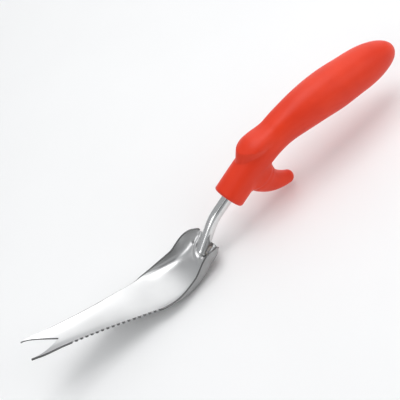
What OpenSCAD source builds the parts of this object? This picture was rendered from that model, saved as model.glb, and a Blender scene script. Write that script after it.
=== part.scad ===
// Hand weeder: a forked, serrated scoop blade welded to a bent round shank,
// with a soft grip over a hard core. X runs from the fork to the handle end,
// +Z is the thumb side, and the tool rests on the belly of its scoop.

/* [Blade] */
// Thickness of the stamped sheet
sheet_t = 1.5; // [1.2:0.1:2]
// Width across the scoop at its widest
scoop_w = 41.6; // [36:0.2:46]
// Width across the fork
fork_w = 22.6; // [18:0.2:26]
// Width across the raised rear lobes
lobe_w = 32.2; // [30:0.2:35]
// Length of the V notch between the prongs
notch_l = 21.5; // [12:0.5:26]
// Distance between the two prong tips
prong_gap = 19; // [12:0.5:21]
// Radius of the bend ahead of the belly, seen from the side
front_r = 65; // [55:1:75]
// Radius of the bend behind the belly
rear_r = 40; // [36:1:46]
// Rise of the front of the blade, in degrees
front_rise = 22.7; // [18:0.1:26]
// Rise of the rear of the blade, in degrees
rear_rise = 24; // [20:0.5:26]
// Height of the side flanges beside the belly
flange_h = 9.6; // [6:0.2:11]
// Extra height of the two rear lobes over the flanges
lobe_h = 2.6; // [0:0.2:4]
// Height of the turned-up edges near the fork
edge_h = 2.4; // [1:0.1:3]

/* [Teeth] */
// Number of saw teeth on one edge
tooth_count = 17; // [8:1:18]
// Depth of a tooth
tooth_depth = 1.5; // [0.8:0.1:2]

/* [Shank] */
// Diameter of the round bar
shank_d = 8.4; // [7:0.2:9]
// Rise of the bar where it leaves the handle, in degrees
shank_rise = 20; // [18:0.5:22]
// Rise of the bar where it drops to the blade, in degrees
drop_rise = 40; // [36:1:42]
// Width of the flattened end of the tang
spade_w = 12; // [10:0.5:14]

/* [Handle] */
// Diameter of the collar round the shank
collar_d = 23.4; // [21:0.2:24]
// Diameter of the neck behind the thumb stop
neck_d = 23.8; // [22:0.2:26]
// Diameter of the palm swell
palm_d = 33.2; // [30:0.2:36]
// Thickness of the soft skin over the core
skin_t = 3; // [2:0.5:3.5]
// Height of the thumb stop over the collar
stop_h = 4.8; // [2:0.2:6]
// Depth of the thumb rest behind the stop
dish_depth = 1; // [0.5:0.1:1.5]
// Diameter of the finger guard at its tip
guard_d = 10.4; // [8:0.2:12]

/* [Hidden] */

// Places along the tool, measured from the middle of its length
tip_x = -170;
teeth_start_x = -143;
teeth_end_x = -82;
belly_x = -52;
rear_x = -22.5;
collar_x = 6.2;
collar_z = 31.1;
end_x = 170.5;

// ---------- curves ----------

// Smooth curve through [x, value] points in rising x
function span_of(p, x, i = 0) = i >= len(p) - 2 || x < p[i + 1][0] ? i : span_of(p, x, i + 1);
function chord(p, i, j) = (p[j][1] - p[i][1]) / (p[j][0] - p[i][0]);
function tangent(p, i) = chord(p, max(i - 1, 0), min(i + 1, len(p) - 1));
function curve(p, x) =
    let (i = span_of(p, x), h = p[i + 1][0] - p[i][0], t = (x - p[i][0]) / h)
    p[i][1] * (1 + 2 * t) * (1 - t) ^ 2 + tangent(p, i) * h * t * (1 - t) ^ 2
    + p[i + 1][1] * t ^ 2 * (3 - 2 * t) + tangent(p, i + 1) * h * t ^ 2 * (t - 1);

// 0 below a, 1 above b, with an S between
function ease(a, b, x) = let (t = min(max((x - a) / (b - a), 0), 1)) t * t * (3 - 2 * t);

// A straight rise from a to b with small rounds at its foot and head
function ramp(a, b, x) = let (t = min(max((x - a) / (b - a), 0), 1)) 0.8 * t + 0.2 * t * t * (3 - 2 * t);

// A single smooth hump, 1 at the middle and 0 from |t| = 1
function hump(t) = abs(t) < 1 ? (1 + cos(180 * t)) / 2 : 0;

// Faces of a closed skin over a grid of rows, every row a ring of n points
function ring_faces(rows, n) = concat(
    [for (i = [0:rows - 2], j = [0:n - 1]) let (k = (j + 1) % n)
        each [[i * n + j, (i + 1) * n + j, (i + 1) * n + k], [i * n + j, (i + 1) * n + k, i * n + k]]],
    [[for (j = [0:n - 1]) j]],
    [[for (j = [n - 1:-1:0]) (rows - 1) * n + j]]);

// ---------- blade ----------

// Seen from the side the floor is a straight rise on each side of the belly,
// with an arc between: l is the distance from the belly
function rise(l, r, angle) = l < r * sin(angle)
    ? r - sqrt(r ^ 2 - l ^ 2)
    : r * (1 - cos(angle)) + (l - r * sin(angle)) * tan(angle);
function floor_z(x) = sheet_t
    + (x < belly_x ? rise(belly_x - x, front_r, front_rise) : rise(x - belly_x, rear_r, rear_rise));

plan_curve = [
    [tip_x, (prong_gap + 1) / 2], [tip_x + 9, fork_w / 2], [-148, fork_w / 2], [-120, 13.6], [-95, 17.3],
    [-68, scoop_w / 2], [-45, 17.9], [-34, lobe_w / 2], [-27.5, lobe_w / 2 - 1.2],
    [rear_x, lobe_w / 2 - 3.6]];
flange_start_x = -88;
flange_full_x = -42;
function half_width(x) = curve(plan_curve, x);
function flange(x) = ease(flange_start_x, flange_full_x, x);

// The edges rise along the flanges to the lobes, and each lobe ends in a round ear
lobe_start_x = -50;
lobe_full_x = -38;
ear_x = -36.5;
ear_drop = 0.9;
ear_power = 1.6;
function ear(x) = let (t = min(max((x - ear_x) / (rear_x - ear_x), 0), 1))
    1 - (1 - t ^ ear_power) ^ (1 / ear_power);
function edge_rise(x) =
    (edge_h + (flange_h - edge_h) * flange(x) + lobe_h * ease(lobe_start_x, lobe_full_x, x))
    * (1 - ear_drop * ear(x));

// Pressed relief of the head: a channel for the shank, a ridge on each side, a
// cup in each lobe, and a rear edge that turns up
channel_half = 7.5;
channel_depth = 3.7;
channel_end_x = -29;
ridge_y = 9.3;
ridge_half = 3.2;
ridge_h = 3;
ridge_end_share = 0.12;
cup_depth = 1.1;
cup_x = -28.5;
cup_y = 12.2;
cup_l = 5.5;
cup_w = 3;
lip_h = 1;
lip_l = 4;
function channel_dist(x, y) = x > channel_end_x ? abs(y) : norm([x - channel_end_x, y]);
function relief(x, y) =
    let (r = channel_dist(x, y), side = r > 0 ? abs(y) / r : 1)
    ridge_h * (ridge_end_share + (1 - ridge_end_share) * side) * hump((r - ridge_y) / ridge_half)
    - channel_depth * min(1, 1.4 * hump(r / channel_half))
    - cup_depth * hump(norm([(x - cup_x) / cup_l, (abs(y) - cup_y) / cup_w]))
    + lip_h * ease(channel_half, ridge_y, abs(y)) * ease(rear_x - lip_l, rear_x, x);

// Upper surface of the sheet: x runs along it, u from -1 to 1 across it. The
// section is an ellipse at the fork, squarer beside the belly, rounder at the lobes.
square_gain = 4;
round_loss = 2.6;
round_start_x = -40;
round_full_x = -27;
wall_gain = 2.6;
function power(x) =
    2 + square_gain * flange(x) - round_loss * ease(round_start_x, round_full_x, x);
function across(x, u) = let (p = power(x)) sign(u) * sin(90 * abs(u) ^ (p / 2)) ^ (2 / p);
function wall(x, u) = 1 - cos(90 * abs(u) ^ (power(x) / 2)) ^ (2 / (1 + wall_gain * flange(x)));
function tooth_cut(x, u) =
    u > -0.999 || x < teeth_start_x || x > teeth_end_x ? 0
    : let (t = (x - teeth_start_x) / (teeth_end_x - teeth_start_x) * tooth_count)
        tooth_depth * (1 - abs(2 * (t - floor(t)) - 1));
function sheet_point(x, u) = let (y = across(x, u) * half_width(x))
    [x, y + tooth_cut(x, u), floor_z(x) + edge_rise(x) * wall(x, u) + relief(x, y)];

// Lower surface: the same point moved one thickness along the sheet's normal
probe = 0.4;
probe_u = 0.02;
function sheet_normal(x, u) =
    let (v = max(min(u, 1 - probe_u), probe_u - 1), w = min(max(x, tip_x + probe), rear_x - probe),
        along = sheet_point(w + probe, v) - sheet_point(w - probe, v),
        over = sheet_point(w, v + probe_u) - sheet_point(w, v - probe_u), n = cross(along, over))
    n / norm(n);
function sheet_under(x, u) = sheet_point(x, u) - sheet_t * sheet_normal(x, u);

// Rows run from the prong tips to the rear edge. Ahead of the notch root each
// row has a gap in the middle, so the two halves keep columns of their own.
root_x = tip_x + notch_l;
half_columns = 12;
prong_rows = [for (i = [0:7]) tip_x + (root_x - tip_x) * i / 8];
plain_rows = [for (i = [0:1]) root_x + (teeth_start_x - root_x) * i / 2];
tooth_rows = [for (i = [0:2 * tooth_count])
    teeth_start_x + (teeth_end_x - teeth_start_x) * i / (2 * tooth_count)];
head_start_x = -40;
belly_rows = [for (i = [1:13]) teeth_end_x + (head_start_x - teeth_end_x) * i / 13];
head_rows = [for (i = [1:15]) head_start_x + (rear_x - head_start_x) * sin(6 * i) ^ 0.8];
blade_rows = concat(prong_rows, plain_rows, tooth_rows, belly_rows, head_rows);
root_row = len(prong_rows);
function notch_half(x) = x < root_x ? prong_gap / 2 * (root_x - x) / notch_l : 0;
function column_u(x, k) = let (inner = notch_half(x) / half_width(x)) inner + (1 - inner) * k / half_columns;

per_row = 2 * (half_columns + 1);
function blade_id(under, i, side, k) =
    (under * len(blade_rows) + i) * per_row + (k == 0 && i >= root_row ? 0 : side * (half_columns + 1)) + k;
function quad(a, b, c, d, flip) = flip ? [[a, c, b], [a, d, c]] : [[a, b, c], [a, c, d]];
blade_points = [for (under = [0:1], x = blade_rows, side = [1, -1], k = [0:half_columns])
    let (u = side * column_u(x, k)) under == 0 ? sheet_point(x, u) : sheet_under(x, u)];
last_row = len(blade_rows) - 1;
blade_faces = [
    for (side = [0:1]) each [
        for (under = [0:1], i = [0:last_row - 1], k = [0:half_columns - 1])
            each quad(blade_id(under, i, side, k), blade_id(under, i + 1, side, k),
                blade_id(under, i + 1, side, k + 1), blade_id(under, i, side, k + 1),
                (side + under) % 2 == 0),
        for (i = [0:last_row - 1])
            each quad(blade_id(0, i, side, half_columns), blade_id(0, i + 1, side, half_columns),
                blade_id(1, i + 1, side, half_columns), blade_id(1, i, side, half_columns), side == 0),
        for (i = [0:root_row - 1])
            each quad(blade_id(0, i, side, 0), blade_id(0, i + 1, side, 0),
                blade_id(1, i + 1, side, 0), blade_id(1, i, side, 0), side == 1),
        for (k = [0:half_columns - 1], i = [0, last_row])
            each quad(blade_id(0, i, side, k), blade_id(0, i, side, k + 1),
                blade_id(1, i, side, k + 1), blade_id(1, i, side, k), (side == 0) == (i == 0))]];

module sheet() {
    polyhedron(points = blade_points, faces = blade_faces, convexity = 8);
}

module blade() {
    color("silver")
        sheet();
}

// ---------- shank ----------

// The bar runs in the plane y = 0. A pose is [x, z, rise in degrees], and each
// leg is [straight length, bend radius, turn in degrees].
weld_end_x = -33.5;
weld_sink = 2.7;
weld_end_z = floor_z(weld_end_x) - weld_sink + shank_d / 2;
seat_rise = 24;
drop_l = 17.9;
neck_l = 50;
tang_fall = -3;
tang_l = 30;
legs = [
    [1, 10, drop_rise - seat_rise],
    [drop_l, 36, shank_rise - drop_rise],
    [neck_l, 60, tang_fall - shank_rise],
    [tang_l, 0, 0]];
bend_steps = 6;
function run(pose, l) = [pose[0] + l * cos(pose[2]), pose[1] + l * sin(pose[2]), pose[2]];
function turn(pose, r, a) = let (s = sign(a) * r, b = pose[2] + a)
    [pose[0] + s * (sin(b) - sin(pose[2])), pose[1] - s * (cos(b) - cos(pose[2])), b];
function walk(pose, i = 0) = i == len(legs) ? [] :
    let (start = run(pose, legs[i][0]), r = legs[i][1], a = legs[i][2], steps = r > 0 ? bend_steps : 0,
        leg = [for (k = [0:steps]) turn(start, r, steps > 0 ? a * k / steps : 0)])
    concat(leg, walk(turn(start, r, a), i + 1));
bar_start = [weld_end_x, weld_end_z, seat_rise];
bar_poses = concat([bar_start], walk(bar_start));
tang_end = bar_poses[len(bar_poses) - 1];

// The end of the tang is flattened, so it can't turn in the handle
spade_l = 18;
spade_t = 4.4;
spade_taper = 8;
spade_poses = [run(tang_end, spade_taper), run(tang_end, spade_l)];

bar_sides = 32;
function bar_ring(pose, w, t) = [for (j = [0:bar_sides - 1]) let (a = 360 * j / bar_sides)
    [pose[0] - t / 2 * sin(a) * sin(pose[2]), w / 2 * cos(a), pose[1] + t / 2 * sin(a) * cos(pose[2])]];
bar_points = concat(
    [for (p = bar_poses) each bar_ring(p, shank_d, shank_d)],
    [for (p = spade_poses) each bar_ring(p, spade_w, spade_t)]);

module bar() {
    rows = len(bar_poses) + len(spade_poses);
    polyhedron(points = bar_points, faces = ring_faces(rows, bar_sides), convexity = 6);
}

module shank() {
    color("gainsboro")
        bar();
}

// ---------- welds ----------

// A fillet of overlapping drops beside the shank, trimmed by it and the channel
weld_drops = 9;
weld_start = 2.5;
weld_l = 7;
weld_r = 1.9;
weld_out = 4.5;
weld_up = 2.5;

module weld_drop(i, side) {
    p = run(bar_start, weld_start + weld_l * i / weld_drops);
    translate([p[0], side * weld_out, p[1] - shank_d / 2 + weld_up])
        sphere(r = weld_r, $fn = 20);
}

module weld_bead(side) {
    color("darkgray")
        difference() {
            for (i = [0:weld_drops - 1])
                hull() {
                    weld_drop(i, side);
                    weld_drop(i + 1, side);
                }
            bar();
            sheet();
        }
}

module weld_bead_left() {
    weld_bead(1);
}

module weld_bead_right() {
    weld_bead(-1);
}

// ---------- handle ----------

// Centre line of the handle, and its half height, as [x, value]
spine = [
    [collar_x, collar_z], [24, 37.8], [38, 42.7], [52, 46.8], [66, 49.1], [82, 49],
    [99, 47.8], [116, 45.5], [134, 43], [152, 40.3], [end_x, 36.8]];
girth = [
    [collar_x, collar_d / 2], [34, collar_d / 2], [54, neck_d / 2 + 0.2], [68, neck_d / 2 + 1.2],
    [86, palm_d / 2 - 1.6], [104, palm_d / 2 - 0.25], [116, palm_d / 2], [134, palm_d / 2 - 0.8],
    [end_x, palm_d / 2 - 1.6]];
end_l = 36;
end_power = 2.1;
front_round = 2.5;
function spine_rise(x) = let (lo = max(x - 1, collar_x), hi = min(x + 1, end_x))
    atan2(curve(spine, hi) - curve(spine, lo), hi - lo);
function end_cap(x) = let (t = min(max(1 - (end_x - x) / end_l, 0), 1))
    (1 - t ^ end_power) ^ (1 / end_power);
function front_cap(x) = let (t = min(max(1 - (x - collar_x) / front_round, 0), 1))
    front_round * (1 - sqrt(1 - t ^ 2));

// Thumb stop: its front ramp sweeps back on both sides of the top, and a
// shallow rest for the thumb runs behind it. a is the angle from the top.
stop_x = 29;
stop_ramp = 6.5;
stop_sweep = 26;
stop_fade_x = 41.5;
stop_end_x = 62;
stop_side = [40, 74];
dish_start_x = 45;
dish_end_x = 88;
dish_side = 42;
function stop(x, a) =
    let (front = stop_x + stop_sweep * (1 - cos(a)))
    stop_h * ramp(front, front + stop_ramp, x) * (1 - ease(stop_fade_x, stop_end_x, x))
    * (1 - ease(stop_side[0], stop_side[1], a));
function dish(x, a) =
    dish_depth * ease(dish_start_x, dish_start_x + 10, x) * (1 - ease(dish_end_x - 22, dish_end_x, x))
    * hump(a / dish_side);

handle_sides = 44;
function handle_ring(x, skin) =
    let (t = spine_rise(x), r = (curve(girth, x) - front_cap(x)) * end_cap(x) - skin)
    [for (j = [0:handle_sides - 1])
        let (b = 360 * j / handle_sides, a = abs(b > 270 ? b - 450 : b - 90),
            q = r + (skin > 0 ? 0 : stop(x, a) - dish(x, a)))
        [x - q * sin(b) * sin(t), q * cos(b), curve(spine, x) + q * sin(b) * cos(t)]];

module handle_body(rows_x, skin) {
    points = [for (x = rows_x) each handle_ring(x, skin)];
    polyhedron(points = points, faces = ring_faces(len(rows_x), handle_sides), convexity = 6);
}

core_front_x = 16;
core_rows = [for (i = [0:16]) core_front_x + (end_x - 9 - core_front_x) * sin(90 * i / 16)];
grip_rows = concat(
    [for (t = [0, 0.15, 0.5, 1]) collar_x + front_round * t], [14, 20, 26],
    [for (x = [28:1:57]) x], [59, 61], [for (x = [64:3.5:123.5]) x],
    [for (i = [1:14]) 125 + (end_x - 0.1 - 125) * sin(90 * i / 14)]);

module core_solid() {
    handle_body(core_rows, skin_t);
}

module handle_core() {
    color("dimgray")
        difference() {
            core_solid();
            bar();
        }
}

// Finger guard: balls along a hook under the neck, each joined to the next
guard_root = [34.4, 28.8];
guard_knee = [37.2, 14.9];
guard_tip = [51.7, 8.4];
guard_root_d = 25.2;
guard_taper = 0.85;
guard_flat = 0.14;
guard_steps = 8;
function guard_at(t) = guard_root * (1 - t) ^ 2 + guard_knee * 2 * t * (1 - t) + guard_tip * t ^ 2;

module guard_ball(t) {
    p = guard_at(t);
    translate([p[0], 0, p[1]])
        scale([1, 1 / (1 + guard_flat * ease(0, 1, 1 - t)), 1])
            sphere(d = guard_root_d + (guard_d - guard_root_d) * t ^ guard_taper, $fn = 28);
}

module guard() {
    for (i = [0:guard_steps - 1])
        hull() {
            guard_ball(i / guard_steps);
            guard_ball((i + 1) / guard_steps);
        }
}

module grip() {
    color("orangered")
        difference() {
            union() {
                handle_body(grip_rows, 0);
                guard();
            }
            core_solid();
            bar();
        }
}

blade();
shank();
weld_bead_left();
weld_bead_right();
handle_core();
grip();
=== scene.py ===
"""Hand weeder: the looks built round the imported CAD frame. Lengths are in millimetres until a mesh is made."""

import bmesh
import bpy
import numpy as np
from mathutils import Matrix, Vector


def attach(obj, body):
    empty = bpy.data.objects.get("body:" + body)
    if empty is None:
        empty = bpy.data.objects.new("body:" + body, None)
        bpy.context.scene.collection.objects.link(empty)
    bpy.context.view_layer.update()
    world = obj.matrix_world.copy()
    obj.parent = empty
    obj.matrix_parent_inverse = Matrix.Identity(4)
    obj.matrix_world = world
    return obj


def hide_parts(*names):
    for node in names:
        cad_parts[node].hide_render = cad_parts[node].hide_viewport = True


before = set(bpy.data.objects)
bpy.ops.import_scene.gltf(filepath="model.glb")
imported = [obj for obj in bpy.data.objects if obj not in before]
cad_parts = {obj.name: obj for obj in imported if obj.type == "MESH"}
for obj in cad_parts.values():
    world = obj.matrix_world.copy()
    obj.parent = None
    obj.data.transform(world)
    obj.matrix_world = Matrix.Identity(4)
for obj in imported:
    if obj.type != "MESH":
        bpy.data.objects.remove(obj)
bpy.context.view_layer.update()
MM = 0.001

# ---------------------------------------------------------------- driving numbers, as in the CAD source

SHEET_T, SCOOP_W, FORK_W, LOBE_W = 1.5, 41.5, 22.6, 32.2
NOTCH_L, PRONG_GAP = 21.5, 19.0
FRONT_R, REAR_R, FRONT_RISE, REAR_RISE = 65.0, 40.0, 22.7, 24.0
FLANGE_H, EDGE_H, LOBE_H = 9.6, 2.4, 2.6
EAR_X, EAR_DROP, EAR_POWER = -36.5, 0.9, 1.6
TOOTH_COUNT, TOOTH_DEPTH = 17, 1.5
SHANK_D, SHANK_RISE, DROP_RISE = 8.4, 20.0, 40.0
COLLAR_D, NECK_D, PALM_D = 23.4, 23.8, 33.2
STOP_H, DISH_DEPTH, GUARD_D = 4.8, 1.0, 10.4
TIP_X, TEETH_START_X, TEETH_END_X = -170.0, -143.0, -82.0
BELLY_X, REAR_X, COLLAR_X, COLLAR_Z, END_X = -52.0, -22.5, 6.2, 31.1, 170.5


# ---------------------------------------------------------------- curves


def sind(a):
    return np.sin(np.radians(a))


def cosd(a):
    return np.cos(np.radians(a))


def curve(points, x):
    """Smooth curve through [x, value] points, with the slope at each point that of the chord round it."""
    p = np.array(points, float)
    x = np.asarray(x, float)
    n = len(p)
    i = np.clip(np.searchsorted(p[:, 0], x, side="right") - 1, 0, n - 2)
    lo, hi = np.maximum(np.arange(n) - 1, 0), np.minimum(np.arange(n) + 1, n - 1)
    slope = (p[hi, 1] - p[lo, 1]) / (p[hi, 0] - p[lo, 0])
    h = p[i + 1, 0] - p[i, 0]
    t = (x - p[i, 0]) / h
    return (
        p[i, 1] * (1 + 2 * t) * (1 - t) ** 2
        + slope[i] * h * t * (1 - t) ** 2
        + p[i + 1, 1] * t**2 * (3 - 2 * t)
        + slope[i + 1] * h * t**2 * (t - 1)
    )


def ease(a, b, x):
    t = np.clip((x - a) / (b - a), 0, 1)
    return t * t * (3 - 2 * t)


def ramp(a, b, x):
    """A straight rise with small rounds at its foot and head."""
    t = np.clip((x - a) / (b - a), 0, 1)
    return 0.8 * t + 0.2 * t * t * (3 - 2 * t)


def hump(t):
    return np.where(np.abs(t) < 1, (1 + np.cos(np.pi * np.clip(t, -1, 1))) / 2, 0)


def plateau(t, flat=0.45):
    """1 up to flat, then down to 0 at 1."""
    return 1 - ease(flat, 1, np.abs(t))


# ---------------------------------------------------------------- meshes


def make_piece(name, points, faces, material, face_material=None, smooth=True):
    """A mesh object linked to the scene. points are in millimetres."""
    mesh = bpy.data.meshes.new(name)
    mesh.from_pydata((np.asarray(points) * MM).tolist(), [], [list(map(int, f)) for f in faces])
    for m in material if isinstance(material, (list, tuple)) else [material]:
        mesh.materials.append(m)
    mesh.update()
    mesh.polygons.foreach_set("use_smooth", [smooth] * len(mesh.polygons))
    if face_material is not None:
        mesh.polygons.foreach_set("material_index", np.asarray(face_material, np.int32))
    mesh.update()
    piece = bpy.data.objects.new(name, mesh)
    bpy.context.scene.collection.objects.link(piece)
    return piece


def tube_faces(rings, sides):
    """Faces of a tube with both ends closed, its points given ring by ring."""
    ids = np.arange(rings * sides).reshape(rings, sides)
    nxt = np.roll(ids, -1, 1)
    quads = np.stack([ids[:-1], ids[1:], nxt[1:], nxt[:-1]], -1).reshape(-1, 4).tolist()
    return [*quads, ids[0].tolist(), ids[-1][::-1].tolist()]


def check_closed(piece):
    """Turn the faces outward, and print the number of edges that don't have two faces."""
    b = bmesh.new()
    b.from_mesh(piece.data)
    open_edges = sum(1 for e in b.edges if len(e.link_faces) != 2)
    bmesh.ops.recalc_face_normals(b, faces=b.faces)
    volume = b.calc_volume(signed=True)
    b.to_mesh(piece.data)
    print(f"{piece.name}: {len(b.faces)} faces, {open_edges} open edges, {abs(volume) * 1e9:.0f} mm3")
    b.free()


# ---------------------------------------------------------------- blade

PLAN = [
    [TIP_X, (PRONG_GAP + 1) / 2],
    [TIP_X + 9, FORK_W / 2],
    [-148, FORK_W / 2],
    [-120, 13.6],
    [-95, 17.3],
    [-68, SCOOP_W / 2],
    [-45, 17.9],
    [-34, LOBE_W / 2],
    [-27.5, LOBE_W / 2 - 1.2],
    [REAR_X, LOBE_W / 2 - 3.6],
]
ROOT_X = TIP_X + NOTCH_L


def rise(l, r, angle):
    bend = r * sind(angle)
    return np.where(
        l < bend,
        r - np.sqrt(np.maximum(r**2 - np.minimum(l, bend) ** 2, 0)),
        r * (1 - cosd(angle)) + (l - bend) * np.tan(np.radians(angle)),
    )


def floor_z(x):
    return SHEET_T + 0.01 + np.where(
        x < BELLY_X, rise(BELLY_X - x, FRONT_R, FRONT_RISE), rise(x - BELLY_X, REAR_R, REAR_RISE)
    )


def half_width(x):
    return curve(PLAN, x)


def flange(x):
    return ease(-88, -42, x)


def edge_rise(x):
    t = np.clip((x - EAR_X) / (REAR_X - EAR_X), 0, 1) ** EAR_POWER
    ear = 1 - (1 - t) ** (1 / EAR_POWER)
    full = EDGE_H + (FLANGE_H - EDGE_H) * flange(x) + LOBE_H * ease(-50, -38, x)
    return full * (1 - EAR_DROP * ear)


CHANNEL_END_X, CHANNEL_HALF, CHANNEL_DEPTH = -29, 7.5, 3.7
RIDGE_Y, RIDGE_HALF, RIDGE_H, RIDGE_END_SHARE = 9.3, 3.2, 3.0, 0.12
CUP_X, CUP_Y, CUP_L, CUP_W, CUP_DEPTH = -28.5, 12.2, 5.5, 3.0, 1.1
LIP_L, LIP_H = 4, 1.0


def relief(x, y):
    """Height pressed into the head: a channel for the shank, a ridge on each side, a cup in each lobe and a
    turned-up rear edge."""
    r = np.where(x > CHANNEL_END_X, np.abs(y), np.hypot(x - CHANNEL_END_X, y))
    side = np.where(r > 0, np.abs(y) / np.maximum(r, 1e-9), 1)
    cup = np.hypot((x - CUP_X) / CUP_L, (np.abs(y) - CUP_Y) / CUP_W)
    return (
        RIDGE_H * (RIDGE_END_SHARE + (1 - RIDGE_END_SHARE) * side) * hump((r - RIDGE_Y) / RIDGE_HALF)
        - CHANNEL_DEPTH * np.minimum(1, 1.4 * hump(r / CHANNEL_HALF))
        - CUP_DEPTH * plateau(cup)
        + LIP_H * ease(CHANNEL_HALF, RIDGE_Y, np.abs(y)) * ease(REAR_X - LIP_L, REAR_X, x)
    )


TROUGH_POWER, HEAD_SOFTENING, WALL_STEEPNESS = 4.0, 2.6, 2.6


def sheet_point(x, u):
    """Inner face of the sheet at x along it and u, -1 to 1, across it."""
    f = flange(x)
    p = 2 + TROUGH_POWER * f - HEAD_SOFTENING * ease(-40, -27, x)
    a = 90 * np.abs(u) ** (p / 2)
    y = np.sign(u) * sind(a) ** (2 / p) * half_width(x)
    wall = 1 - np.maximum(cosd(a), 0) ** (2 / (1 + WALL_STEEPNESS * f))
    z = floor_z(x) + edge_rise(x) * wall + relief(x, y)
    return np.stack([x, y, z], -1)


def sheet_frame(x, u):
    """Point, unit normal, unit direction along x and unit direction across, towards growing u."""
    h, du = 0.05, 0.002
    v = np.clip(u, -1 + du, 1 - du)
    w = np.clip(x, TIP_X + h, REAR_X - h)
    along = sheet_point(w + h, v) - sheet_point(w - h, v)
    over = sheet_point(w, v + du) - sheet_point(w, v - du)
    n = np.cross(along, over)
    unit = lambda q: q / np.maximum(np.linalg.norm(q, axis=-1, keepdims=True), 1e-9)
    return sheet_point(x, u), unit(n), unit(along), unit(over)


TOOTH_FLAT, TOOTH_ROOT_ROUND = 0.22, 0.12


def tooth_cut(x):
    """Depth of the gullets along the toothed edge: a V with a rounded root, and a small flat on each tooth."""
    t = (x - TEETH_START_X) / (TEETH_END_X - TEETH_START_X) * TOOTH_COUNT
    v = 1 - np.abs(2 * (t - np.floor(t)) - 1)
    v = np.clip((v - TOOTH_FLAT) / (1 - TOOTH_FLAT), 0, 1)
    v = v - TOOTH_ROOT_ROUND * ease(0.7, 1, v)
    return np.where((x > TEETH_START_X) & (x < TEETH_END_X), TOOTH_DEPTH * v, 0)


HEAD_X, RIM_ROUND, RIM_ARC = -42, 0.35, (20, 45, 70, 90)
INSIDE, RIM, OUTSIDE = 0, 1, 2  # the blade's material slots


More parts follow.
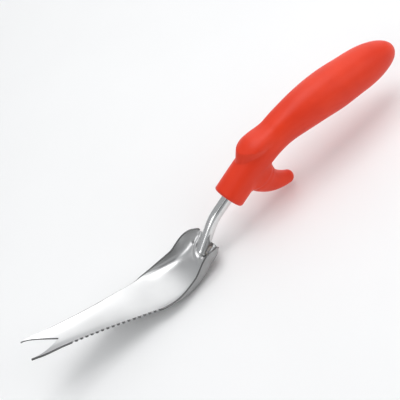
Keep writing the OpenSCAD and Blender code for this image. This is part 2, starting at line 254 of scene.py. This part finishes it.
def build_blade(materials):
    """A closed sheet: inner and outer face, with a rounded rim between them all the way round."""
    rows = np.concatenate([
        np.linspace(TIP_X, ROOT_X, 44)[:-1],
        np.linspace(ROOT_X, TEETH_START_X, 13)[:-1],
        np.linspace(TEETH_START_X, TEETH_END_X, TOOTH_COUNT * 10 + 1)[:-1],
        np.linspace(TEETH_END_X, HEAD_X, 60)[:-1],
        HEAD_X + (REAR_X - HEAD_X) * sind(np.linspace(0, 90, 64)) ** 0.8,
    ])
    n_half, soft = 44, RIM_ROUND
    x = rows[:, None]
    inner = np.where(rows < ROOT_X, PRONG_GAP / 2 * (ROOT_X - rows) / NOTCH_L, 0) / half_width(rows)
    k = np.arange(n_half + 1) / n_half
    cuts = tooth_cut(rows)

    def columns(side):
        """u of every column: equal steps along each row's own curve, stopped short at the gullets."""
        u = np.empty((len(rows), n_half + 1))
        for i, at in enumerate(rows):
            fine = inner[i] + (1 - inner[i]) * np.linspace(0, 1, 500)
            p = sheet_point(np.full(500, at), side * fine)
            run_l = np.concatenate([[0], np.cumsum(np.linalg.norm(np.diff(p, axis=0), axis=1))])
            cut = cuts[i] if side < 0 else 0
            u[i] = side * np.interp(run_l[-1] * k - cut * ease(0.7, 1, k), run_l, fine)
        return u

    points, faces, kinds = [], [], []

    def add(grid):
        start = sum(len(g) for g in points)
        points.append(grid.reshape(-1, 3))
        return start + np.arange(len(grid.reshape(-1, 3))).reshape(grid.shape[:2])

    def skin(ids, flip, kind):
        a, b, c, d = ids[:-1, :-1], ids[1:, :-1], ids[1:, 1:], ids[:-1, 1:]
        quads = np.stack([a, d, c, b] if flip else [a, b, c, d], -1).reshape(-1, 4)
        faces.extend(quads.tolist())
        kinds.extend([kind] * len(quads))

    outline = {}
    for side in (1, -1):
        u = columns(side)
        at, n, along, over = sheet_frame(np.broadcast_to(x, u.shape), u)
        # pull the outermost points in by the rim's radius, so that the rounded rim ends where the sheet does
        top = at.copy()
        top[:, -1] -= over[:, -1] * side * soft
        low = at - n * SHEET_T
        low[:, -1] -= over[:, -1] * side * soft
        prong = rows < ROOT_X
        top[prong, 0] += over[prong, 0] * side * soft
        low[prong, 0] += over[prong, 0] * side * soft
        for grid in (top, low):
            grid[0] += along[0] * soft
            grid[-1] -= along[-1] * soft
        outline[side] = (at, n, along, over, top, low)
    join = int(np.argmax(rows >= ROOT_X - 1e-9))
    # the middle column is shared behind the notch
    left, right = outline[1], outline[-1]
    for grid_l, grid_r in ((left[4], right[4]), (left[5], right[5])):
        grid_r[join:, 0] = grid_l[join:, 0]
    ids = {}
    for side in (1, -1):
        ids[side] = (add(outline[side][4]), add(outline[side][5]))
    for t in (0, 1):
        ids[-1][t][join:, 0] = ids[1][t][join:, 0]
    for side in (1, -1):
        skin(ids[side][0], side < 0, INSIDE)
        skin(ids[side][1], side > 0, OUTSIDE)

    def outline_ids():
        """Point ids and edge frames once round the whole outline."""
        ring, at, n, out, low = [], [], [], [], []

        def take(side, sel, outward):
            ring.append(ids[side][0][sel])
            low.append(ids[side][1][sel])
            a, nn = outline[side][0][sel], outline[side][1][sel]
            at.append(a)
            n.append(nn)
            out.append(outward)

        last = len(rows) - 1
        # +Y edge from the tip back, rear edge across, -Y edge forward, tip, notch in and out, tip
        take(1, (slice(0, last), n_half), outline[1][3][:last, n_half])
        take(1, (last, slice(n_half, 0, -1)), outline[1][2][last, n_half:0:-1])
        take(-1, (last, slice(0, n_half)), outline[-1][2][last, 0:n_half])
        take(-1, (slice(last, 0, -1), n_half), -outline[-1][3][last:0:-1, n_half])
        take(-1, (0, slice(n_half, 0, -1)), -outline[-1][2][0, n_half:0:-1])
        take(-1, (slice(0, join), 0), outline[-1][3][:join, 0])
        take(1, (slice(join, 0, -1), 0), -outline[1][3][join:0:-1, 0])
        take(1, (0, slice(0, n_half)), -outline[1][2][0, 0:n_half])
        return [np.concatenate(q) for q in (ring, low, at, n, out)]

    ring, low, at, n, out = outline_ids()
    # the outward direction turns smoothly round each corner
    for _ in range(2):
        mixed = out + 0.5 * (np.roll(out, 1, 0) + np.roll(out, -1, 0))
        out = mixed / np.maximum(np.linalg.norm(mixed, axis=1, keepdims=True), 1e-9)
    close = lambda q: np.concatenate([q, q[:1]])
    lines = [ring]
    for a in RIM_ARC:
        lines.append(add((at - out * soft * (1 - sind(a)) - n * soft * (1 - cosd(a)))[:, None])[:, 0])
    for a in reversed(RIM_ARC):
        lines.append(
            add((at - n * SHEET_T - out * soft * (1 - sind(a)) + n * soft * (1 - cosd(a)))[:, None])[:, 0]
        )
    lines.append(low)
    skin(np.stack([close(q) for q in lines], 1), True, RIM)
    # the gullets take the bright polished steel, the rest of the edge keeps the dark edge steel, whose darkness
    # is partly painted shade
    in_gullet = (at[:, 1] < 0) & (tooth_cut(at[:, 0]) > 0.4 * TOOTH_DEPTH)
    bands = len(lines) - 1
    kinds[-len(ring) * bands :] = np.repeat(np.where(in_gullet, INSIDE, RIM), bands).tolist()
    # drop the points that nothing uses
    flat = np.concatenate(points)
    face_array = np.array(faces)
    used = np.unique(face_array)
    new = -np.ones(len(flat), int)
    new[used] = np.arange(len(used))
    piece = make_piece("blade_sheet", flat[used], new[face_array], materials, kinds)
    check_closed(piece)
    return piece


# ---------------------------------------------------------------- shank


def run(pose, l):
    return [pose[0] + l * cosd(pose[2]), pose[1] + l * sind(pose[2]), pose[2]]


def turn(pose, r, a):
    s = np.sign(a) * r
    return [
        pose[0] + s * (sind(pose[2] + a) - sind(pose[2])),
        pose[1] - s * (cosd(pose[2] + a) - cosd(pose[2])),
        pose[2] + a,
    ]


WELD_X, WELD_SINK, SEAT_RISE = -33.5, 2.7, 24.0
BAR_START = [WELD_X, float(floor_z(np.array(WELD_X))) - WELD_SINK + SHANK_D / 2, SEAT_RISE]
# straight length, bend radius and turn in degrees of each leg
LEGS = [
    (1, 10, DROP_RISE - SEAT_RISE), (17.9, 36, SHANK_RISE - DROP_RISE), (50, 60, -3 - SHANK_RISE), (30, 0, 0),
]
SPADE_W, SPADE_T, SPADE_TAPER, SPADE_L = 12.0, 4.4, 8.0, 18.0
SPADE_END_ROUND, CHAMFER = 0.8, 0.6


def bar_poses():
    poses = [BAR_START]
    for length, r, a in LEGS:
        start = poses[-1]
        for s in np.linspace(0, length, max(2, int(length / 2.5) + 1))[1:]:
            poses.append(run(start, s))
        if r:
            bend = poses[-1]
            steps = max(6, int(abs(a) / 2))
            poses.extend(turn(bend, r, a * s / steps) for s in range(1, steps + 1))
    return poses


def build_shank(material):
    """The round bar as one smooth sweep, its cut end chamfered and its tang flattened."""
    poses = bar_poses()
    rings = []
    first = poses[0]
    for back, inset in ((0, CHAMFER), (CHAMFER * 0.3, CHAMFER * 0.3), (CHAMFER, 0)):
        rings.append((run(first, back), SHANK_D - 2 * inset, SHANK_D - 2 * inset))
    rings += [(p, SHANK_D, SHANK_D) for p in poses[1:]]
    end = poses[-1]
    for s in np.linspace(0.15, 1, 8):
        w = ease(0, 1, s)
        wide, thick = SHANK_D + (SPADE_W - SHANK_D) * w, SHANK_D + (SPADE_T - SHANK_D) * w
        rings.append((run(end, SPADE_TAPER * s), wide, thick))
    rings.append((run(end, SPADE_L - 0.5), SPADE_W, SPADE_T))
    rings.append((run(end, SPADE_L), SPADE_W - SPADE_END_ROUND, SPADE_T - SPADE_END_ROUND))
    sides = 48
    a = np.radians(360 * np.arange(sides) / sides)
    pts = []
    for p, w, t in rings:
        pts.append(np.stack([
            p[0] - t / 2 * np.sin(a) * sind(p[2]),
            w / 2 * np.cos(a),
            p[1] + t / 2 * np.sin(a) * cosd(p[2]),
        ], 1))
    piece = make_piece("shank_bar", np.concatenate(pts), tube_faces(len(rings), sides), material)
    check_closed(piece)
    return piece


# ---------------------------------------------------------------- shapes as distances, and a mesh from them


def soft_min(a, b, k):
    """The smaller of two distances, with a fillet of about k where they cross."""
    h = np.maximum(k - np.abs(a - b), 0) / k
    return np.minimum(a, b) - h * h * k / 4


def round_max(a, b, k):
    """Where two solids' faces cross, an edge rounded to radius k."""
    return np.minimum(np.maximum(a, b), -k) + np.hypot(np.maximum(a + k, 0), np.maximum(b + k, 0))


def net(f, low, high, pitch):
    """The surface f = 0 as quads, by surface nets, its points then moved onto the surface."""
    low, high = np.array(low, float), np.array(high, float)
    n = np.ceil((high - low) / pitch).astype(int) + 1
    axes = [low[i] + pitch * np.arange(n[i]) for i in range(3)]
    v = np.empty(n, np.float32)
    for i, x in enumerate(axes[0]):
        y, z = np.meshgrid(axes[1], axes[2], indexing="ij")
        v[i] = f(np.stack([np.full_like(y, x), y, z], -1))
    neg = v < 0
    corner = [(a, b, c) for a in (0, 1) for b in (0, 1) for c in (0, 1)]
    cut = lambda q, o: q[o[0] : n[0] - 1 + o[0], o[1] : n[1] - 1 + o[1], o[2] : n[2] - 1 + o[2]]
    count = sum(cut(neg, o).astype(np.int8) for o in corner)
    cells = np.argwhere((count > 0) & (count < 8))
    ids = -np.ones(n - 1, int)
    ids[tuple(cells.T)] = np.arange(len(cells))
    total, share = np.zeros((len(cells), 3)), np.zeros(len(cells))
    for a in corner:
        for d in range(3):
            if a[d]:
                continue
            b = list(a)
            b[d] = 1
            va, vb = v[tuple((cells + a).T)], v[tuple((cells + b).T)]
            hit = (va < 0) != (vb < 0)
            t = np.where(hit, va / np.where(hit, va - vb, 1), 0)
            p = np.array(a, float)[None] + t[:, None] * np.eye(3)[d]
            total += p * hit[:, None]
            share += hit
    pts = low + pitch * (cells + total / share[:, None])
    faces = []
    for d in range(3):
        e, g = [q for q in range(3) if q != d]
        a = neg[tuple(slice(0, -1) if q == d else slice(1, -1) for q in range(3))]
        b = neg[tuple(slice(1, None) if q == d else slice(1, -1) for q in range(3))]
        for flag, flip in ((a & ~b, d == 1), (~a & b, d != 1)):
            at = np.argwhere(flag)
            at[:, e] += 1
            at[:, g] += 1
            quad = []
            for oe, og in ((1, 1), (0, 1), (0, 0), (1, 0)):
                q = at.copy()
                q[:, e] -= oe
                q[:, g] -= og
                quad.append(ids[tuple(q.T)])
            quad = np.stack(quad, 1)
            faces.append(quad[:, ::-1] if flip else quad)
    faces = np.concatenate(faces)
    step = 0.05
    for _ in range(2):
        base = f(pts)
        grad = np.stack([(f(pts + step * np.eye(3)[d]) - base) / step for d in range(3)], -1)
        move = base[:, None] * grad / np.maximum((grad**2).sum(1), 0.2)[:, None]
        size = np.linalg.norm(move, axis=1, keepdims=True)
        pts = pts - move * np.minimum(1, 0.4 * pitch / np.maximum(size, 1e-9))
    return pts, faces


# ---------------------------------------------------------------- grip

SPINE = [
    [COLLAR_X, COLLAR_Z], [24, 37.8], [38, 42.7], [52, 46.8], [66, 49.1], [82, 49.0],
    [99, 47.8], [116, 45.5], [134, 43.0], [152, 40.3], [END_X, 36.8],
]
GIRTH = [
    [COLLAR_X, COLLAR_D / 2], [34, COLLAR_D / 2], [54, NECK_D / 2 + 0.2], [68, NECK_D / 2 + 1.2],
    [86, PALM_D / 2 - 1.6], [104, PALM_D / 2 - 0.25], [116, PALM_D / 2], [134, PALM_D / 2 - 0.8],
    [END_X, PALM_D / 2 - 1.6],
]
END_L, END_POWER = 36.0, 2.1
GUARD_ROOT, GUARD_KNEE, GUARD_TIP = np.array([34.4, 28.8]), np.array([37.2, 14.9]), np.array([51.7, 8.4])
GUARD_ROOT_D, GUARD_TAPER, GUARD_FLAT, GUARD_FILLET = 25.2, 0.85, 0.14, 4.0
FRONT_ROUND = 2.2


def spine_slope(x):
    lo, hi = np.maximum(x - 1, COLLAR_X), np.minimum(x + 1, END_X)
    return (curve(SPINE, hi) - curve(SPINE, lo)) / (hi - lo)


def spine_foot(p):
    """Where on the centre line each point belongs: the x of its foot, its distance from the line, its angle from
    the top, and the line's length per unit of x there."""
    x, y, z = p[..., 0], p[..., 1], p[..., 2]
    s = x.copy()
    for _ in range(5):
        c = np.clip(s, COLLAR_X, END_X)
        m = spine_slope(c)
        zc = curve(SPINE, c) + m * (s - c)
        s = s + ((x - s) + (z - zc) * m) / (1 + m * m)
    c = np.clip(s, COLLAR_X, END_X)
    m = spine_slope(c)
    zc = curve(SPINE, c) + m * (s - c)
    root = np.sqrt(1 + m * m)
    up = (-(x - s) * m + (z - zc)) / root
    return s, np.hypot(up, y), np.degrees(np.arctan2(np.abs(y), up)), root


STOP_FRONT_X, STOP_SWEEP, STOP_RAMP_L, STOP_BACK, STOP_SIDE = 29, 26, 6.5, (41.5, 62), (40, 74)
DISH_FRONT, DISH_BACK, DISH_SIDE = (45, 55), (66, 88), 42


def stop(x, a):
    """The thumb stop: its front ramp sweeps back on both sides of the top."""
    front = STOP_FRONT_X + STOP_SWEEP * (1 - cosd(a))
    height = STOP_H * ramp(front, front + STOP_RAMP_L, x)
    return height * (1 - ease(*STOP_BACK, x)) * (1 - ease(*STOP_SIDE, a))


def dish(x, a):
    """The thumb's rest behind the stop."""
    return DISH_DEPTH * ease(*DISH_FRONT, x) * (1 - ease(*DISH_BACK, x)) * hump(a / DISH_SIDE)


def body(p):
    """Distance to the handle's outside."""
    s, rho, a, root = spine_foot(p)
    c = np.clip(s, COLLAR_X, END_X)
    girth = curve(GIRTH, c)
    t = np.maximum(1 - (END_X - s) / END_L, 0)
    q = np.maximum(rho, 1e-6) / girth
    tube = girth * ((q**END_POWER + t**END_POWER) ** (1 / END_POWER) - 1)
    tube = tube - stop(c, a) + dish(c, a)
    face = (COLLAR_X - s) * root
    return round_max(tube, face, FRONT_ROUND)


def guard(p):
    """Distance to the finger guard: a tapering hook, flatter from side to side at its root."""
    x, y, z = p[..., 0], p[..., 1], p[..., 2]
    best = np.full(x.shape, 1e9)
    steps = 14
    t = np.linspace(0, 1, steps + 1)
    path = (
        GUARD_ROOT * (1 - t[:, None]) ** 2
        + GUARD_KNEE * 2 * t[:, None] * (1 - t[:, None])
        + GUARD_TIP * t[:, None] ** 2
    )
    radius = (GUARD_ROOT_D + (GUARD_D - GUARD_ROOT_D) * t**GUARD_TAPER) / 2
    flat = 1 + GUARD_FLAT * ease(0, 1, 1 - t)
    for i in range(steps):
        a, b = path[i], path[i + 1]
        d = b - a
        h = np.clip(((x - a[0]) * d[0] + (z - a[1]) * d[1]) / (d @ d), 0, 1)
        r = radius[i] + (radius[i + 1] - radius[i]) * h
        m = flat[i] + (flat[i + 1] - flat[i]) * h
        q = np.sqrt((x - a[0] - d[0] * h) ** 2 + (y * m) ** 2 + (z - a[1] - d[1] * h) ** 2)
        best = np.minimum(best, q - r)
    return best


def grip_shape(p):
    return soft_min(body(p), guard(p), GUARD_FILLET)


PITCH, QUICK_PITCH = 0.8, 1.6


def build_grip(material):
    low = [COLLAR_X - 6, -PALM_D / 2 - 1.5, 1]
    high = [END_X + 1, PALM_D / 2 + 1.5, 68]
    pts, faces = net(grip_shape, low, high, PITCH)
    piece = make_piece("grip_skin", pts, faces, material)
    check_closed(piece)
    return piece


# ---------------------------------------------------------------- welds


WELD_START, WELD_L, WELD_R, WELD_Y, WELD_RISE, WELD_RIPPLE, WELD_DROPS = 2.2, 7.5, 1.9, 4.5, 2.5, 0.08, 9


def build_weld(side, material):
    """A rippled bead laid in the corner between bar and sheet."""
    pts, sides, steps = [], 20, 60
    a = np.radians(360 * np.arange(sides) / sides)
    for i in range(steps + 1):
        s = i / steps
        p = run(BAR_START, WELD_START + WELD_L * s)
        ripple = WELD_RIPPLE * (2 * np.abs(np.sin(np.pi * WELD_DROPS * s)) - 1)
        r = (WELD_R + ripple) * (1 - abs(2 * s - 1) ** 6) ** 0.5 + 0.02
        up = r * np.sin(a)
        pts.append(np.stack([
            p[0] - up * sind(p[2]), side * WELD_Y + r * np.cos(a),
            p[1] - SHANK_D / 2 + WELD_RISE + up * cosd(p[2]),
        ], 1))
    name = "weld_left" if side > 0 else "weld_right"
    piece = make_piece(name, np.concatenate(pts), tube_faces(steps + 1, sides), material)
    check_closed(piece)
    return piece


# ---------------------------------------------------------------- materials


class Shader:
    """Short names for building a node material."""

    def __init__(self, name):
        self.material = bpy.data.materials.new(name)
        self.material.use_nodes = True
        self.tree = self.material.node_tree
        self.main = self.tree.nodes["Principled BSDF"]

    def set(self, **values):
        for key, value in values.items():
            self.main.inputs[key.replace("_", " ")].default_value = value

    def node(self, kind, **settings):
        n = self.tree.nodes.new(kind)
        for key, value in settings.items():
            setattr(n, key, value)
        return n

    def link(self, a, b):
        self.tree.links.new(a, b)

    def place(self, scale):
        """Object coordinates in metres, stretched by scale per axis."""
        c = self.node("ShaderNodeTexCoord")
        m = self.node("ShaderNodeMapping")
        m.inputs["Scale"].default_value = scale
        self.link(c.outputs["Object"], m.inputs["Vector"])
        return m.outputs["Vector"]

    def noise(self, scale, detail=3.0, rough=0.5, at=(1, 1, 1)):
        n = self.node("ShaderNodeTexNoise")
        n.inputs["Scale"].default_value = scale
        n.inputs["Detail"].default_value = detail
        n.inputs["Roughness"].default_value = rough
        self.link(self.place(at), n.inputs["Vector"])
        return n.outputs["Fac"]

    def ramp(self, value, stops):
        r = self.node("ShaderNodeValToRGB")
        e = r.color_ramp.elements
        e[0].position, e[0].color = stops[0][0], (*stops[0][1], 1)
        e[1].position, e[1].color = stops[-1][0], (*stops[-1][1], 1)
        for at, colour in stops[1:-1]:
            q = e.new(at)
            q.color = (*colour, 1)
        self.link(value, r.inputs["Fac"])
        return r.outputs["Color"]

    def spread(self, value, low, high):
        m = self.node("ShaderNodeMapRange")
        m.inputs["To Min"].default_value = low
        m.inputs["To Max"].default_value = high
        self.link(value, m.inputs["Value"])
        return m.outputs["Result"]

    def bump(self, height, strength, distance, under=None):
        b = self.node("ShaderNodeBump")
        b.inputs["Strength"].default_value = strength
        b.inputs["Distance"].default_value = distance
        self.link(height, b.inputs["Height"])
        if under is not None:
            self.link(under, b.inputs["Normal"])
        return b.outputs["Normal"]

    def finish(self, colour=None, rough=None, normal=None):
        if colour is not None:
            self.link(colour, self.main.inputs["Base Color"])
        if rough is not None:
            self.link(rough, self.main.inputs["Roughness"])
        if normal is not None:
            self.link(normal, self.main.inputs["Normal"])
        return self.material


def grey(v, warm=0.0):
    return (v * (1 + warm), v, v * (1 - warm))


def blade_steel():
    """Stainless sheet, polished along its length: fine scratches, soft waves left by the press."""
    s = Shader("blade_steel")
    s.set(Metallic=1.0)
    scratch = s.noise(900, 4, 0.6, at=(0.05, 1, 1))
    cloud = s.noise(38, 2, 0.5)
    colour = s.ramp(cloud, [(0.25, grey(0.62)), (0.75, grey(0.70))])
    rough = s.spread(scratch, 0.27, 0.40)
    normal = s.bump(s.noise(26, 1.5, 0.5, at=(0.7, 1, 1)), 0.2, 0.0008)
    normal = s.bump(scratch, 0.12, 0.0001, normal)
    return s.finish(colour, rough, normal)


def mill_steel_and_painted_shade():
    """The outside of the sheet, left as rolled: duller than the polished inside, and darker, partly as the
    rolled finish and partly as painted shade.
    """
    s = Shader("blade_mill_steel_and_painted_shade")
    s.set(Metallic=1.0)
    lines = s.noise(1100, 4, 0.6, at=(0.06, 1, 1))
    cloud = s.noise(55, 3, 0.55)
    # the darker grey of the outside face is partly painted shade
    colour = s.ramp(cloud, [(0.3, grey(0.34)), (0.7, grey(0.43))])
    return s.finish(colour, s.spread(lines, 0.34, 0.5), s.bump(lines, 0.15, 0.0001))


def edge_steel_and_painted_shade():
    """The sheared edge: rougher, with the marks of the cut, and near black, partly as the cut's own finish and
    partly as painted shade.
    """
    s = Shader("blade_edge_steel_and_painted_shade")
    s.set(Metallic=1.0)
    marks = s.noise(2600, 3, 0.6, at=(1, 1, 0.12))
    # the near-black grey of the edge is partly painted shade
    colour = s.ramp(marks, [(0.3, grey(0.12)), (0.7, grey(0.22))])
    return s.finish(colour, s.spread(marks, 0.36, 0.6), s.bump(marks, 0.4, 0.0001))


def bar_steel():
    """Polished bar: drawn lines along it, a few faint rubs."""
    s = Shader("shank_steel")
    s.set(Metallic=1.0)
    lines = s.noise(1500, 3, 0.55, at=(0.04, 1, 1))
    cloud = s.noise(60, 3, 0.5)
    colour = s.ramp(cloud, [(0.3, grey(0.66)), (0.7, grey(0.76))])
    return s.finish(colour, s.spread(lines, 0.12, 0.24), s.bump(lines, 0.08, 0.0001))


def weld_steel():
    """Weld metal: dull grey with a little straw and blue from the heat."""
    s = Shader("weld_metal")
    s.set(Metallic=1.0)
    tint = s.noise(420, 2, 0.5)
    grain = s.noise(2400, 4, 0.65)
    colour = s.ramp(
        tint, [(0.3, (0.27, 0.26, 0.27)), (0.5, (0.36, 0.33, 0.29)), (0.7, (0.24, 0.25, 0.29))]
    )
    return s.finish(colour, s.spread(grain, 0.35, 0.62), s.bump(grain, 0.5, 0.00015))


def core_plastic():
    s = Shader("core_plastic")
    grain = s.noise(3000, 3, 0.5)
    colour = s.ramp(s.noise(120, 2, 0.5), [(0.3, grey(0.010)), (0.7, grey(0.016))])
    return s.finish(colour, s.spread(grain, 0.5, 0.68), s.bump(grain, 0.25, 0.0001))


def grip_rubber():
    """Soft-touch moulding: a fine even grain, faint flow of colour, a satin sheen."""
    s = Shader("grip_rubber")
    s.set(Specular_IOR_Level=0.3)
    cloud = s.noise(34, 3, 0.5)
    speck = s.noise(5200, 2, 0.5)
    colour = s.ramp(cloud, [(0.3, (0.72, 0.034, 0.008)), (0.7, (0.82, 0.048, 0.012))])
    rough = s.spread(s.noise(160, 3, 0.6), 0.36, 0.48)
    return s.finish(colour, rough, s.bump(speck, 0.16, 0.00006))


def floor_paper():
    s = Shader("floor_paper")
    s.set(Roughness=0.95, Specular_IOR_Level=0.1)
    tone = s.noise(6, 3, 0.5)
    return s.finish(s.ramp(tone, [(0.3, grey(0.90)), (0.7, grey(0.92))]))


# ---------------------------------------------------------------- build

# edge and mill hold the edge and outside steels, whose darker greys are partly painted shade
steel, edge, mill = blade_steel(), edge_steel_and_painted_shade(), mill_steel_and_painted_shade()
bar_metal, weld, rubber = bar_steel(), weld_steel(), grip_rubber()

for piece, node, slot in (
    (build_blade([steel, edge, mill]), "blade", "blade_steel"),
    (build_shank(bar_metal), "shank", "shank_steel"),
    (build_weld(1, weld), "weld_bead_left", "weld_metal"),
    (build_weld(-1, weld), "weld_bead_right", "weld_metal"),
    (build_grip(rubber), "grip", "grip_rubber"),
):
    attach(piece, "root")
    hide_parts(node)

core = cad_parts["handle_core"]
core.data.materials.clear()
core.data.materials.append(core_plastic())

# ---------------------------------------------------------------- floor, light, camera

FLOOR_HALF = 6000
corners = [[-FLOOR_HALF, -FLOOR_HALF, 0], [FLOOR_HALF, -FLOOR_HALF, 0],
           [FLOOR_HALF, FLOOR_HALF, 0], [-FLOOR_HALF, FLOOR_HALF, 0]]
floor = make_piece("floor", corners, [[0, 1, 2, 3]], floor_paper())

world = bpy.data.worlds.new("studio")
bpy.context.scene.world = world
world.use_nodes = True
sky = world.node_tree.nodes["Background"]
sky.inputs["Color"].default_value = (0.96, 0.98, 1.0, 1)


def sky_band(toward, at_low, at_high, low, high):
    """Brightness of the room by direction: low where the angle's cosine is at_low, high where it is at_high."""
    tree = world.node_tree
    where = tree.nodes.new("ShaderNodeTexCoord")
    dot = tree.nodes.new("ShaderNodeVectorMath")
    dot.operation = "DOT_PRODUCT"
    dot.inputs[1].default_value = toward
    band = tree.nodes.new("ShaderNodeMapRange")
    band.interpolation_type = "SMOOTHSTEP"
    for key, value in (("From Min", at_low), ("From Max", at_high), ("To Min", low), ("To Max", high)):
        band.inputs[key].default_value = value
    tree.links.new(where.outputs["Generated"], dot.inputs[0])
    tree.links.new(dot.outputs["Value"], band.inputs["Value"])
    return band.outputs["Result"]


# a paler right side, and a dark wall behind where the camera of this picture stands
both = world.node_tree.nodes.new("ShaderNodeMath")
both.operation = "MULTIPLY"
world.node_tree.links.new(sky_band((1, 0, 0), -0.5, 0.5, 0.48, 0.54), both.inputs[0])
world.node_tree.links.new(sky_band((-0.11, -0.735, 0.669), 0.93, 0.985, 1.0, 0.05), both.inputs[1])
world.node_tree.links.new(both.outputs[0], sky.inputs["Strength"])


def softbox(name, place, aim, size, power, colour=(1, 1, 1)):
    light = bpy.data.lights.new(name, "AREA")
    light.shape = "RECTANGLE"
    light.size, light.size_y = size
    light.energy = power
    light.color = colour
    lamp = bpy.data.objects.new(name, light)
    lamp.location = place
    lamp.rotation_mode = "QUATERNION"
    lamp.rotation_quaternion = (Vector(aim) - Vector(place)).to_track_quat("-Z", "Y")
    bpy.context.scene.collection.objects.link(lamp)
    return lamp


softbox("key", (0.30, 0.10, 1.25), (0, 0, 0.03), (0.9, 0.9), 7.2)
softbox("back_right", (1.05, 0.95, 0.85), (0, 0, 0.03), (2.0, 1.5), 7.0)
softbox("left", (-0.85, -0.45, 0.75), (0, 0, 0.03), (0.6, 0.6), 1.8)
softbox("fill", (0.9, -0.9, 0.8), (0.05, 0, 0.03), (0.8, 0.8), 3)

scene = bpy.context.scene
scene.view_settings.view_transform = "Standard"
scene.view_settings.look = "None"

AZIMUTH, ELEVATION, ROLL, DISTANCE, LENS = -8.5, 42.0, 35.3, 0.7, 88.7
AIM = Vector((-0.00325, 0.0, 0.0411))
sa, ca, se, ce = sind(AZIMUTH), cosd(AZIMUTH), sind(ELEVATION), cosd(ELEVATION)
back = Vector((sa * ce, -ca * ce, se))
right = Vector((ca, sa, 0))
up = back.cross(right)
sr, cr = sind(ROLL), cosd(ROLL)
cam_x, cam_y = right * cr - up * sr, right * sr + up * cr
data = bpy.data.cameras.new("camera")
camera = bpy.data.objects.new("camera", data)
scene.collection.objects.link(camera)
turned = Matrix((cam_x, cam_y, back)).transposed()
camera.matrix_world = Matrix.Translation(AIM + back * DISTANCE) @ turned.to_4x4()
data.sensor_width = 36.0
data.lens = LENS
data.shift_x, data.shift_y = -0.03, -0.005
data.clip_start, data.clip_end = 0.02, 60
scene.camera = camera
